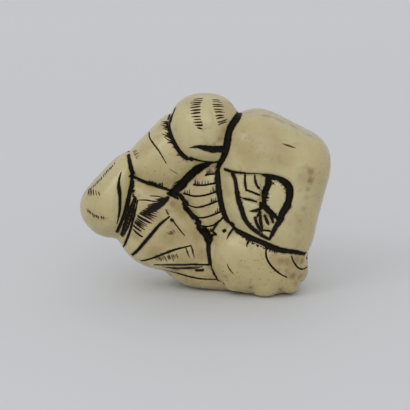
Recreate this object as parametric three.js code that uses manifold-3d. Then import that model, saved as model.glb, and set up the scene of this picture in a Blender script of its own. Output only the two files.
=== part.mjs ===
// A netsuke: a toggle about as long as a thumb, carved from one solid piece of pale bone. Swelling forms
// crowd together: a sack with a scene cut into it, a round dome and a pointed dome with slit mouths, a padded
// roll, a fan of pleated cloth, a ribbed waist, a hem and a paw with blunt toes. Two cord holes meet inside
// its back. Units are millimetres, +Z is up and the carved front faces -Y. The origin is on the ground, under
// the middle.
import * as THREE from "three";
import { mergeVertices } from "three/addons/utils/BufferGeometryUtils.js";
import Module from "manifold-3d";

const wasm = await Module();
wasm.setup();

// ---------------------------------------------------------------- driving dimensions

const length = 45; // along X, once the whole is finished
const front = -11.4; // the sack's face, the foremost
const back = 8.6; // the middle of the back, the rearmost
const recess = 1.6; // how deep the scene sits in the sack
const relief = 1.1; // how far its shapes stand up again from the recess's floor
const cordHole = { wide: 1.9, narrow: 1.5, deep: 5 }; // radii of the two holes, and how deep they meet

// ---------------------------------------------------------------- solids from three.js geometry

function solidOf(geometry) {
  const bare = geometry.clone();
  bare.deleteAttribute("normal");
  bare.deleteAttribute("uv");
  const merged = mergeVertices(bare, 1e-4);
  return new wasm.Manifold(
    new wasm.Mesh({
      numProp: 3,
      vertProperties: merged.attributes.position.array,
      triVerts: new Uint32Array(merged.index.array),
    }),
  );
}

function geometryOf(body) {
  const mesh = body.getMesh();
  const geometry = new THREE.BufferGeometry();
  geometry.setAttribute("position", new THREE.BufferAttribute(mesh.vertProperties, 3));
  geometry.setIndex(new THREE.BufferAttribute(mesh.triVerts, 1));
  return geometry;
}

// A smooth curve in the front plane through a few [x, z] points.
function drawn(points, closed) {
  const places = points.map(([x, z]) => new THREE.Vector3(x, 0, z));
  return new THREE.CatmullRomCurve3(places, closed, "centripetal");
}

// A swelling form. Its outline runs counter-clockwise as seen from the front and lies at depth `middle`. From
// there it domes over to its face, at depth `face`, and to its rear, at depth `rear`. A crown of 2 is an
// elliptical section, and more is a flatter face with a tighter edge.
function pebble({ outline, middle, face, rear, crown, around, rows }) {
  const rim = drawn(outline, true).getSpacedPoints(around);
  const centre = new THREE.Vector3();
  for (let i = 0; i < around; i += 1) centre.addScaledVector(rim[i], 1 / around);
  const ball = new THREE.SphereGeometry(1, around, rows);
  const place = ball.attributes.position;
  const on = new THREE.Vector3();
  for (let i = 0; i < place.count; i += 1) {
    on.fromBufferAttribute(place, i);
    const outward = Math.hypot(on.x, on.z);
    const swell = (outward ** crown + Math.abs(on.y) ** crown) ** (-1 / crown);
    const step = Math.round((Math.atan2(on.z, on.x) / (2 * Math.PI)) * around + around) % around;
    const at = centre.clone().lerp(rim[step], outward * swell);
    const depth = Math.abs(on.y) * swell * ((on.y < 0 ? face : rear) - middle);
    place.setXYZ(i, at.x, middle + depth, at.z);
  }
  return solidOf(ball);
}

// ---------------------------------------------------------------- the swelling forms

function core() {
  return pebble({
    outline: [
      [17, 12], [18, 22], [12, 29], [0, 31], [-9, 27], [-13, 20], [-13, 10], [-7, 4], [4, 2], [15, 4],
    ],
    middle: 0, face: -5, rear: back, crown: 2.4, around: 28, rows: 10,
  });
}

function sack() {
  return pebble({
    outline: [
      [18.0, 7.0], [19.0, 8.6], [20.0, 13], [21.2, 18], [22.3, 22.5], [22.2, 25.2], [20.6, 27.6],
      [16.8, 29.7], [12.6, 31.9], [10.2, 32.8], [7.4, 32.6], [5.4, 31.4], [3.6, 27.8], [2.3, 23.6],
      [2.0, 19.2], [2.9, 14.8], [5.3, 11.2], [9.4, 8.2], [14.3, 6.9],
    ],
    middle: -3, face: front, rear: 7.6, crown: 3.1, around: 44, rows: 12,
  });
}

function roundDome() {
  return pebble({
    outline: [
      [6.4, 29.7], [5.8, 32.8], [3.6, 35.2], [0, 36.0], [-3.2, 35.4], [-5.6, 33.5],
      [-6.5, 30.6], [-5.8, 27.0], [-3.4, 24.2], [0.5, 23.2], [3.9, 24.2],
    ],
    middle: -4, face: -10, rear: 5.6, crown: 2.1, around: 28, rows: 12,
  });
}

function pointedDome() {
  return pebble({
    outline: [
      [-13.0, 17.8], [-12.2, 22.4], [-12.5, 25.2], [-15.4, 24.3], [-17.9, 21.9], [-21.5, 17.8],
      [-22.6, 15.5], [-21.9, 12.8], [-19.9, 10.5], [-17.7, 9.4], [-15.6, 9.7], [-13.8, 13.2],
    ],
    middle: -1.5, face: -8, rear: 6, crown: 2.2, around: 28, rows: 12,
  });
}

function roll() {
  return pebble({
    outline: [
      [0, 23.3], [-0.9, 26.9], [-2.9, 30.8], [-6.3, 31.9], [-10.0, 28.6], [-13.1, 25.3],
      [-14.2, 22.7], [-13.4, 20.6], [-9.9, 19.2], [-5.9, 18.0], [-3.2, 19.1], [-1.2, 21.0],
    ],
    middle: -1, face: -7.6, rear: 7.2, crown: 2.3, around: 28, rows: 12,
  });
}

// The cloth fans out downwards from a gathered point.
function cloth() {
  return pebble({
    outline: [
      [-13.4, 21.4], [-14.6, 14], [-15.8, 10.2], [-14.0, 6.6], [-11.7, 4.9], [-8.7, 3.8], [-3.6, 3.4],
      [2.4, 3.6], [2.6, 6.0], [0.3, 10.5], [-2.4, 14.6], [-5.2, 19.0], [-9.8, 20.8],
    ],
    middle: -1, face: -8.1, rear: 7.6, crown: 3, around: 36, rows: 12,
  });
}

function waist() {
  return pebble({
    outline: [
      [5, 24], [0, 25], [-2.6, 22], [-5.0, 19], [-4.2, 16.4], [-2.4, 13.6], [-0.2, 10], [2, 8],
      [6, 9], [8, 14],
    ],
    middle: 0, face: -7.9, rear: 6, crown: 2.6, around: 24, rows: 10,
  });
}

function hem() {
  return pebble({
    outline: [
      [-9.0, 5.2], [-7.4, 2.6], [-4.8, 0.8], [-2.2, -0.1], [0.6, -0.5], [3.6, -0.7], [7, -0.6],
      [8, 5], [0, 8], [-6, 8],
    ],
    middle: 1.5, face: -6.4, rear: 8, crown: 2.3, around: 28, rows: 10,
  });
}

// The paw: a broad pad, and blunt toes that swell out of its foot. Each toe is given by the middle of its
// front, its half width, its half height and the depth of its face.
const toes = [
  { x: 5.4, z: 3.6, wide: 2.6, high: 3.2, face: -8.9 },
  { x: 10.7, z: 2.8, wide: 2.9, high: 3.3, face: -9.9 },
  { x: 15.1, z: 3.1, wide: 2.1, high: 3.1, face: -8.9 },
  { x: 17.0, z: 4.8, wide: 1.5, high: 2.9, face: -7.0 },
];

function paw() {
  const pad = pebble({
    outline: [
      [0.5, 6.5], [1.2, 3.9], [3.2, 1.6], [6, 0.2], [10, -0.3], [14, -0.1], [16.7, 1.2], [17.9, 3.4],
      [18.4, 6.5], [18, 10], [14, 13], [10, 14], [5.4, 13.4], [2.4, 12], [0.8, 9.3],
    ],
    middle: -3, face: -10.5, rear: 7, crown: 2.7, around: 32, rows: 12,
  });
  return toes.reduce((all, { x, z, wide, high, face }) => {
    const outline = [0, 45, 90, 135, 180, 225, 270, 315].map((degrees) => {
      const across = Math.cos(THREE.MathUtils.degToRad(degrees));
      const up = Math.sin(THREE.MathUtils.degToRad(degrees));
      const square = (across ** 4 + up ** 4) ** (-1 / 8);
      return [x + wide * square * across, z + high * square * up];
    });
    return all.add(pebble({ outline, middle: -4, face, rear: 1, crown: 3, around: 14, rows: 8 }));
  }, pad);
}

// ---------------------------------------------------------------- carving

// The leaf-shaped recess in the sack, and the shapes of the scene that are left standing in it.
const leaf = [
  [11.3, 11.2], [11.9, 13.0], [12.7, 14.3], [13.9, 15.7], [15.0, 17.4], [15.6, 19.0], [15.8, 20.5],
  [15.1, 21.8], [13.9, 22.6], [11.9, 23.2], [8.8, 23.4], [5.6, 23.6], [3.3, 24.0], [4.7, 22.5], [4.9, 21.2],
  [5.1, 19.3], [5.8, 17.0], [6.4, 15.4], [7.2, 13.8], [8.5, 12.4], [9.9, 12.0],
];
const moon = [
  [12.1, 15.9], [13.0, 15.1], [13.8, 16.5], [14.3, 18.3], [14.2, 19.8], [13.8, 21.0], [12.7, 21.7],
  [11.7, 21.2], [11.0, 19.6], [10.4, 18.3], [11.0, 17.2],
];
const lattice = [[5.9, 19.0], [9.6, 18.2], [9.6, 20.2], [9.6, 22.6], [5.8, 22.7]];
const foliage = [[6.4, 18.1], [6.9, 15.8], [7.8, 13.9], [9.0, 12.9], [9.8, 13.6], [9.5, 15.4], [9.6, 17.3]];
const bud = [[9.9, 14.6], [10.5, 13.2], [11.6, 13.2], [11.8, 14.2], [11.0, 15.5], [10.1, 16.0]];

function openedSack(body) {
  const floor = front + recess;
  const cutter = pebble({
    outline: leaf, middle: front - 1, face: front - 2, rear: floor, crown: 7, around: 40, rows: 8,
  });
  const standing = { middle: floor, face: floor - relief, rear: floor + 1, crown: 3.4, around: 16, rows: 6 };
  const raised = [moon, lattice, foliage, bud].map((outline) => pebble({ outline, ...standing }));
  return raised.reduce((all, shape) => all.add(shape), body.subtract(cutter));
}

// Finds the skin straight behind a point of the front plane, seen from the front (-1) or from the back (1).
function skinOf(body, side) {
  const mesh = new THREE.Mesh(geometryOf(body), new THREE.MeshBasicMaterial());
  const needle = new THREE.Raycaster();
  const inward = new THREE.Vector3(0, -side, 0);
  return (x, z) => {
    needle.set(new THREE.Vector3(x, 40 * side, z), inward);
    return needle.intersectObject(mesh)[0];
  };
}

// One stroke of the graver: a spindle with a diamond section, laid along the skin, that cuts a V with
// pointed ends.
function stroke(skin, { path, width, deep, steps = 8 }) {
  const route = drawn(path, false);
  const stations = [];
  for (let i = 0; i <= steps; i += 1) {
    const over = route.getPointAt((1 - Math.cos((Math.PI * i) / steps)) / 2);
    const hit = skin(over.x, over.z);
    stations.push({ at: hit.point, out: hit.face.normal });
  }
  const spindle = new THREE.SphereGeometry(1, 4, steps);
  const place = spindle.attributes.position;
  const on = new THREE.Vector3();
  for (let i = 0; i < place.count; i += 1) {
    on.fromBufferAttribute(place, i);
    const row = Math.round((Math.acos(Math.min(1, Math.max(-1, -on.y))) / Math.PI) * steps);
    const before = stations[Math.max(row - 1, 0)];
    const here = stations[row];
    const after = stations[Math.min(row + 1, steps)];
    const along = after.at.clone().sub(before.at).normalize();
    const up = before.out.clone().add(here.out).add(after.out);
    up.addScaledVector(along, -up.dot(along)).normalize();
    const side = along.clone().cross(up);
    const outward = Math.hypot(on.x, on.z);
    const fullness = outward > 1e-6 ? 1 / Math.sqrt(outward) : 0;
    const at = here.at.clone();
    at.addScaledVector(side, (on.x * fullness * width) / 2);
    at.addScaledVector(up, on.z * fullness * deep);
    place.setXYZ(i, at.x, at.y, at.z);
  }
  return solidOf(spindle);
}

const mouths = [
  { path: [[-2.6, 27.2], [0.2, 27.8], [3.6, 27.1]], width: 1.3, deep: 1.0 },
  { path: [[-14.8, 22.5], [-15, 21], [-14.7, 16.9], [-15.1, 15.2], [-15.9, 12.7]], width: 0.8, deep: 0.7 },
];

const folds = [
  { path: [[-11.9, 17.6], [-12.2, 16.1], [-13.1, 12.6], [-14.4, 9.3]], width: 0.9, deep: 0.6 },
  { path: [[-6.4, 14.8], [-8.8, 12.7], [-10.0, 11.3], [-12.7, 7.7]], width: 0.8, deep: 0.7 },
  { path: [[-2.6, 9.4], [-6.3, 8.4], [-11.2, 6.6]], width: 0.8, deep: 0.7 },
  { path: [[-6.2, 18.5], [-4.6, 19.9], [-2.9, 21.6], [-1.0, 23.1]], width: 1.8, deep: 1.1 },
  { path: [[-9.6, 28.8], [-8.3, 26.6], [-6.8, 24.0]], width: 0.5, deep: 0.35 },
  { path: [[-7.0, 4.4], [-4.6, 3.7], [-2.1, 2.9], [1.6, 2.8]], width: 0.6, deep: 0.4 },
  { path: [[10.8, 9.0], [10.7, 8.0], [12.7, 5.0], [14.2, 4.4]], width: 0.6, deep: 0.4, steps: 6 },
  { path: [[15.4, 7.2], [15.9, 6.0], [16.9, 5.4]], width: 0.6, deep: 0.4, steps: 6 },
];

// The waist's ribs sag a little between the cloth and the sack.
const ribs = [
  { z: 22.3, from: -0.9, to: 1.9 },
  { z: 20.2, from: -2.3, to: 1.9 },
  { z: 18.5, from: -3.7, to: 1.8 },
  { z: 16.7, from: -4.0, to: 1.9 },
  { z: 14.9, from: -2.7, to: 2.8 },
  { z: 13.2, from: -1.4, to: 2.9 },
].map(({ z, from, to }) => ({
  path: [[from, z + 0.2], [(from + to) / 2, z - 0.3], [to, z + 0.3]], width: 0.6, deep: 0.4, steps: 6,
}));

// The back is plainer: a few long folds sweep round it.
const backFolds = [
  { path: [[-9.4, 22.6], [-6.4, 15.6], [-1.4, 9.6], [5.2, 6.4]], width: 0.9, deep: 0.6 },
  { path: [[-10.6, 17.4], [-7.4, 11.2], [-2.4, 6.6]], width: 0.8, deep: 0.5 },
  { path: [[-4.4, 26.8], [1.4, 23.2], [5.4, 24.6]], width: 0.8, deep: 0.5 },
];

function graven(body) {
  const fromFront = skinOf(body, -1);
  const fromBack = skinOf(body, 1);
  const strokes = [
    ...[...mouths, ...folds, ...ribs].map((line) => stroke(fromFront, line)),
    ...backFolds.map((line) => stroke(fromBack, line)),
  ];
  return strokes.reduce((rest, cut) => rest.subtract(cut), body);
}

// The cord holes: a wide one above for the knot and a narrow one below, joined by an arc inside the back.
function cordWay() {
  const high = new THREE.Vector3(-3.2, back + 1, 20.5);
  const low = new THREE.Vector3(5.2, back + 1, 13.5);
  const inside = high.clone().lerp(low, 0.5).setY(back - 2 * cordHole.deep);
  const round = new THREE.Shape().absarc(0, 0, cordHole.narrow, 0, 2 * Math.PI);
  const arc = new THREE.QuadraticBezierCurve3(high, inside, low);
  const bore = new THREE.ExtrudeGeometry(round, {
    extrudePath: arc, steps: 14, curveSegments: 6, bevelEnabled: false,
  });
  const mouth = new THREE.SphereGeometry(cordHole.wide, 14, 8).scale(1, 1.6, 1);
  mouth.translate(high.x, back, high.z);
  return solidOf(bore).add(solidOf(mouth));
}

// ---------------------------------------------------------------- the whole

const crowded = [sack, roundDome, pointedDome, roll, cloth, waist, hem, paw].reduce(
  (all, form) => all.add(form()),
  core(),
);
const ground = solidOf(new THREE.BoxGeometry(3 * length, 3 * length, length).translate(0, 0, -length / 2));
const drawnBody = graven(openedSack(crowded)).subtract(cordWay()).subtract(ground);

// The whole is brought to its length, and its middle over the origin.
const { min, max } = drawnBody.boundingBox();
const toMiddle = [-(min[0] + max[0]) / 2, -(min[1] + max[1]) / 2, -min[2]];
const body = drawnBody.translate(toMiddle).scale(length / (max[0] - min[0]));

const carving = new THREE.Mesh(
  geometryOf(body),
  new THREE.MeshStandardMaterial({ name: "bone", color: 0xcdb98a, roughness: 0.35, metalness: 0 }),
);
carving.name = "carving";

const netsuke = new THREE.Group();
netsuke.add(carving);
export default netsuke;
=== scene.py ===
import math
import random

import bmesh
import bpy
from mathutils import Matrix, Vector, noise
from mathutils.bvhtree import BVHTree
from mathutils.kdtree import KDTree


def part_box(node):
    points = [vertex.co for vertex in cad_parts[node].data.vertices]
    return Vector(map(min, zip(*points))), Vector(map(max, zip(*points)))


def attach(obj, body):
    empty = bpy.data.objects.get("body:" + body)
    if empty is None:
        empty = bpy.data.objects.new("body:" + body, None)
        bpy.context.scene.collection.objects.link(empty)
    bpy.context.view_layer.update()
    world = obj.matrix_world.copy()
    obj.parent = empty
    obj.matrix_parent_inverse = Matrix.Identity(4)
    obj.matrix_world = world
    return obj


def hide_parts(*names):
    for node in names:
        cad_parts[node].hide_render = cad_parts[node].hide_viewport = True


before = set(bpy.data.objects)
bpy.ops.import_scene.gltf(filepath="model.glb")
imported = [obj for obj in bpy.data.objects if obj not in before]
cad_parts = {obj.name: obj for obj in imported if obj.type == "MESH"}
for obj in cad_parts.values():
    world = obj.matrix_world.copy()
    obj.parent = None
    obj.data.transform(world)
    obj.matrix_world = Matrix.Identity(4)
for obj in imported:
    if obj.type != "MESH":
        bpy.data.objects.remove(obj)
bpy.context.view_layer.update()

mm = 0.001
dice = random.Random(1850)  # one seeded hand for all uneven work
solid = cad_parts["carving"]
boxLow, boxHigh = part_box("carving")
boxMiddle = (boxLow + boxHigh) / 2
scene = bpy.context.scene


def smooth(t):
    t = max(0.0, min(1.0, t))
    return t * t * (3 - 2 * t)


# ---- camera, table and light

studio = {
    "lens": 200,
    "distance": 410 * mm,
    "elevation": 13,  # degrees above the table
    "aim": (0.1 * mm, 1.4 * mm, -3.0 * mm),  # from the middle of the carving
    "tableAcross": 3.2,
    "tableNear": (0.728, 0.735, 0.757),
    "tableFarPaintedLight": (0.80, 0.808, 0.833),  # painted light: the far paper is painted paler, standing in for the light that falls there
    "sweep": (0.05, 0.36),  # where the painted light begins and ends, behind the carving
    "cloudScale": 9,  # of the slight unevenness in the paper's tone
    "unevenness": 0.05,
    "airColor": (0.97, 0.985, 1.0),
    "airStrength": 0.575,
    "softboxes": {  # place, size, watts, color
        "keySoftbox": ((-0.62, -0.66, 0.72), 0.55, 1.57, (1, 0.99, 0.97)),
        "frontSoftbox": ((0, -0.9, 0.5), 0.5, 0.95, (1, 1, 1)),
        "frontWall": ((0, -0.9, 0.9), 1.2, 1.73, (1, 1, 1)),
        "backSoftbox": ((0.1, 0.6, 0.8), 0.8, 0.4, (1, 1, 1)),
    },
}


def addCamera(s):
    data = bpy.data.cameras.new("camera")
    data.lens = s["lens"]
    data.sensor_width = 36
    data.clip_start = 0.01
    data.dof.use_dof = False
    camera = bpy.data.objects.new("camera", data)
    scene.collection.objects.link(camera)
    tilt = math.radians(s["elevation"])
    away = Vector((0, -math.cos(tilt), math.sin(tilt)))
    camera.location = boxMiddle + Vector(s["aim"]) + away * s["distance"]
    camera.rotation_euler = away.to_track_quat("Z", "Y").to_euler()
    scene.camera = camera


def addSoftbox(name, place, across, watts, color):
    data = bpy.data.lights.new(name, "AREA")
    data.shape = "SQUARE"
    data.size = across
    data.energy = watts
    data.color = color
    softbox = bpy.data.objects.new(name, data)
    scene.collection.objects.link(softbox)
    softbox.location = place
    softbox.rotation_euler = (Vector(place) - boxMiddle).to_track_quat("Z", "Y").to_euler()


def addAir(s):
    world = bpy.data.worlds.new("studioAir")
    world.use_nodes = True
    air = world.node_tree.nodes["Background"]
    air.inputs["Color"].default_value = (*s["airColor"], 1)
    air.inputs["Strength"].default_value = s["airStrength"]
    scene.world = world


def palePaper(s):
    paper = bpy.data.materials.new("palePaper")
    paper.use_nodes = True
    nodes, links = paper.node_tree.nodes, paper.node_tree.links
    shader = nodes["Principled BSDF"]
    shader.inputs["Roughness"].default_value = 0.62
    shader.inputs["Specular IOR Level"].default_value = 0.3
    place = nodes.new("ShaderNodeTexCoord")
    cloud = nodes.new("ShaderNodeTexNoise")
    cloud.inputs["Scale"].default_value = s["cloudScale"]
    apart = nodes.new("ShaderNodeSeparateXYZ")
    uneven = nodes.new("ShaderNodeMath")
    uneven.operation = "MULTIPLY_ADD"
    uneven.inputs[1].default_value = s["unevenness"]
    # painted light: the paper's tone turns paler towards the back, in place of the light there
    paintedFarLight = nodes.new("ShaderNodeMapRange")
    paintedFarLight.inputs["From Min"].default_value, paintedFarLight.inputs["From Max"].default_value = s["sweep"]
    tone = nodes.new("ShaderNodeValToRGB")
    tone.color_ramp.elements[0].color = (*s["tableNear"], 1)
    tone.color_ramp.elements[1].color = (*s["tableFarPaintedLight"], 1)
    links.new(place.outputs["Object"], cloud.inputs["Vector"])
    links.new(place.outputs["Object"], apart.inputs["Vector"])
    links.new(cloud.outputs["Fac"], uneven.inputs[0])
    links.new(apart.outputs["Y"], uneven.inputs[2])
    links.new(uneven.outputs["Value"], paintedFarLight.inputs["Value"])
    links.new(paintedFarLight.outputs["Result"], tone.inputs["Fac"])
    links.new(tone.outputs["Color"], shader.inputs["Base Color"])
    return paper


def addTable(s):
    work = bmesh.new()
    bmesh.ops.create_circle(work, cap_ends=True, segments=96, radius=s["tableAcross"] / 2)
    mesh = bpy.data.meshes.new("table")
    work.to_mesh(mesh)
    work.free()
    mesh.materials.append(palePaper(s))
    table = bpy.data.objects.new("table", mesh)
    scene.collection.objects.link(table)


scene.view_settings.view_transform = "Standard"
scene.view_settings.look = "None"
addCamera(studio)
addTable(studio)
addAir(studio)
for name, (place, across, watts, color) in studio["softboxes"].items():
    addSoftbox(name, place, across, watts, color)
print("studio ready")


# ---- the graver's work, with a few bands of painted shade, in front view millimetres, kept as strokes until there is a skin to cut

strokes = []


def curveThrough(points, step):
    ends = [points[0], *points, points[-1]]
    line = []
    for a, b, c, d in zip(ends, ends[1:], ends[2:], ends[3:]):
        count = max(1, math.ceil(math.dist(b, c) / step))
        for i in range(count):
            t = i / count
            line.append([
                0.5 * (2 * q + (r - p) * t + (2 * p - 5 * q + 4 * r - s) * t * t + (3 * q - p - 3 * r + s) * t ** 3)
                for p, q, r, s in zip(a, b, c, d)
            ])
    return line + [list(points[-1])]


# one cut; thin is how wide its two ends are, as a share, and inSolid says that the solid has this cut too;
# a keen mark gets the finest mesh
def cut(points, wide, deep, ink=1.0, thin=(0.3, 0.3), side=-1, inSolid=False, onJoin=False):
    strokes.append({
        "kind": "cut", "points": points, "wide": wide, "deep": deep, "ink": ink, "thin": thin, "side": side,
        "inSolid": inSolid, "onJoin": onJoin, "keen": True,
    })


# many short cuts that start on one curve and run towards another
def hatch(start, end, count, wide=0.2, deep=0.1, ink=0.8, reach=(0.65, 1.0), stray=0.08, side=-1, keen=False):
    strokes.append({
        "kind": "hatch", "start": start, "end": end, "count": count, "wide": wide, "deep": deep, "ink": ink,
        "reach": reach, "stray": stray, "side": side, "keen": keen, "inSolid": False,
    })


def bead(point, across, high):
    strokes.append({"kind": "bead", "point": point, "across": across, "high": high, "inSolid": False})


crowding = {  # the wide dark joins between the forms: points, width, depth
    "domeAndSack": ([(6.4, 33.2), (5.4, 32.3), (4.6, 30.9), (4.0, 29.1), (3.6, 27.3), (3.2, 25.1)], 1.35, 0.25),
    "sackSide": (
        [(3.3, 25.8), (2.9, 24.2), (2.5, 22.0), (2.5, 19.9), (2.7, 18.2), (3.1, 16.8), (3.9, 15.0), (5.0, 13.5)],
        1.15, 0.25),
    "sackFoot": (
        [(3.9, 15.0), (5.0, 13.5), (6.5, 12.3), (8.3, 11.1), (10.2, 10.2), (13.0, 9.1), (15.5, 8.5), (18.1, 8.4)],
        1.0, 0.25),
    "domeAndRoll": (
        [(-5.2, 33.6), (-5.8, 31.9), (-5.8, 30.2), (-5.4, 28.6), (-4.5, 27.1), (-3.2, 25.8), (-1.4, 24.9), (0.8, 24.5),
         (2.8, 24.6)], 0.75, 0.2),
    "rollAndCloth": ([(-13.2, 21.5), (-11.4, 20.9), (-9.9, 20.2), (-8.1, 19.6), (-6.3, 18.8)], 0.58, 0.15),
    "pointedDome": (
        [(-13.5, 24.9), (-13.3, 23.7), (-13.1, 21.1), (-13.2, 19.0), (-13.5, 17.4), (-14.0, 15.4), (-14.6, 13.7),
         (-15.5, 11.5)], 0.8, 0.25),
    "clothAndWaist": (
        [(-5.8, 18.4), (-4.3, 17.2), (-2.8, 14.9), (-1.8, 13.2), (-0.8, 11.6), (0.2, 10.0), (0.7, 8.1), (0.8, 6.0)],
        0.85, 0.2),
    "pawSide": (
        [(3.8, 15.0), (2.8, 14.2), (1.8, 12.6), (1.1, 11.0), (0.9, 9.0), (0.9, 7.0), (1.5, 5.0), (2.3, 3.2),
         (3.6, 1.9)], 0.46, 0.1),
    "hemAndCloth": ([(-8.9, 5.6), (-6.0, 5.7), (-3.7, 5.7), (-2.2, 5.8), (0.9, 5.6)], 0.42, 0.12),
}
for name, (points, wide, deep) in crowding.items():
    cut(points, wide, deep, thin=(0.7, 0.7), onJoin=name != "hemAndCloth")
pit = ([(0.1, 12.0), (0.6, 10.7), (0.8, 9.2)], 1.5, 0.3)  # where cloth, waist and paw meet
cut(*pit, thin=(0.8, 0.4))

roundDome = {
    "mouth": ([(-2.7, 27.3), (-1.4, 27.6), (0.1, 27.6), (1.8, 27.4), (3.6, 27.3)], 0.62, 0.5),
    "mouthMiddle": ([(-1.2, 27.4), (0.6, 27.2), (2.0, 27.0), (3.8, 27.0)], 0.9, 0.5),
    "mouthCorner": ([(0.4, 27.0), (1.5, 26.7), (3.7, 26.7)], 0.6, 0.4),
    "leftHatch": {
        "start": [(-0.2, 35.7), (-0.7, 34.9), (-0.8, 33.8), (-0.7, 32.7), (-0.4, 31.7), (-0.5, 30.6)],
        "end": [(-2.0, 35.5), (-2.5, 34.9), (-2.6, 33.9), (-2.3, 32.8), (-1.9, 31.8), (-1.1, 30.8)],
        "count": 12, "wide": 0.27, "ink": 0.9, "reach": (0.85, 1.0), "stray": 0.03, "keen": True,
    },
    "rightHatch": {
        "start": [(1.5, 35.5), (1.5, 34.7), (1.9, 33.7), (2.1, 32.8), (2.4, 32.0), (2.7, 31.2)],
        "end": [(3.1, 35.2), (3.5, 34.5), (3.6, 33.6), (3.6, 32.7), (4.2, 32.2), (4.3, 31.6)],
        "count": 10, "wide": 0.24, "ink": 0.85, "reach": (0.8, 1.0), "stray": 0.04, "keen": True,
    },
}
cut(*roundDome["mouth"], thin=(0.1, 1), inSolid=True)
for name in ("mouthMiddle", "mouthCorner"):
    cut(*roundDome[name], thin=(0.1, 1), inSolid=True)
for name in ("leftHatch", "rightHatch"):
    hatch(**roundDome[name])

roll = {
    "hair": {
        "start": [(-5.6, 32.8), (-6.0, 31.4), (-5.9, 29.9), (-5.4, 28.4), (-4.5, 27.0), (-3.2, 25.7), (-1.8, 24.9)],
        "end": [(-7.0, 32.2), (-7.7, 31.2), (-7.7, 30.0), (-7.0, 28.4), (-5.6, 26.4), (-4.2, 24.7), (-2.4, 23.7)],
        "count": 40, "wide": 0.18, "ink": 1.0, "reach": (0.45, 1.0), "stray": 0.1, "keen": True,
    },
    "seam": ([(-9.9, 28.7), (-9.7, 28.2), (-9.0, 27.5), (-8.0, 26.4), (-6.7, 24.3)], 0.24, 0.14),
    "seamEnd": ([(-6.3, 23.4), (-5.4, 22.7), (-4.5, 22.1)], 0.14, 0.05),
    "speckle": {
        "start": [(-12.7, 25.6), (-12.0, 24.6)], "end": [(-11.3, 26.4), (-11.0, 25.6)],
        "count": 9, "wide": 0.18, "ink": 0.5, "reach": (0.2, 0.9), "stray": 0.3,
    },
    "foot": {
        "start": [(-9.9, 20.3), (-9.0, 20.0), (-7.4, 19.4)], "end": [(-9.8, 21.0), (-8.8, 21.0), (-7.2, 21.0)],
        "count": 8, "wide": 0.2, "ink": 0.9, "reach": (0.3, 1.0),
    },
    "creases": {
        "start": [(-5.9, 19.4), (-5.1, 20.7)], "end": [(-4.3, 20.1), (-3.7, 21.4)],
        "count": 3, "wide": 0.24, "ink": 0.8, "reach": (0.8, 1.0),
    },
}
hatch(**roll["hair"])
hatch(**{**roll["hair"], "count": 30, "reach": (0.15, 0.4), "wide": 0.26, "keen": False})
cut(*roll["seam"], thin=(0.6, 0.4), inSolid=True)
cut(*roll["seamEnd"], ink=0.5)
for name in ("speckle", "foot", "creases"):
    hatch(**roll[name])

pointedDome = {
    "slit": (
        [(-14.7, 22.4), (-15.0, 21.4), (-15.1, 20.2), (-14.9, 18.6), (-14.9, 17.0), (-15.0, 15.3), (-15.5, 13.1)],
        0.62, 0.4),
    "upper": {
        "start": [(-21.0, 18.6), (-20.2, 18.9), (-19.3, 19.0), (-18.4, 18.9)],
        "end": [(-20.9, 17.7), (-20.0, 18.0), (-19.2, 18.0), (-18.3, 18.2)],
        "count": 7, "wide": 0.22, "ink": 0.8, "reach": (0.8, 1.0), "stray": 0.04, "keen": True,
    },
    "lower": {
        "start": [(-21.0, 15.9), (-20.2, 15.4), (-19.4, 14.9), (-18.5, 14.7), (-17.6, 14.7)],
        "end": [(-20.8, 14.8), (-19.9, 14.4), (-19.2, 14.1), (-18.3, 14.1), (-17.6, 14.2)],
        "count": 9, "wide": 0.22, "ink": 0.85, "reach": (0.6, 1.0), "stray": 0.05, "keen": True,
    },
    "shoulder": {
        "start": [(-15.8, 23.5), (-17.3, 21.9), (-18.8, 20.2), (-20.4, 18.7)],
        "end": [(-16.2, 24.0), (-17.6, 22.4), (-19.1, 20.7), (-20.7, 19.2)],
        "count": 16, "wide": 0.24, "ink": 0.8, "reach": (0.6, 1.0), "stray": 0.05,
    },
}
cut(*pointedDome["slit"], thin=(0.25, 0.2), inSolid=True)
for name in ("upper", "lower", "shoulder"):
    hatch(**pointedDome[name])

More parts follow.
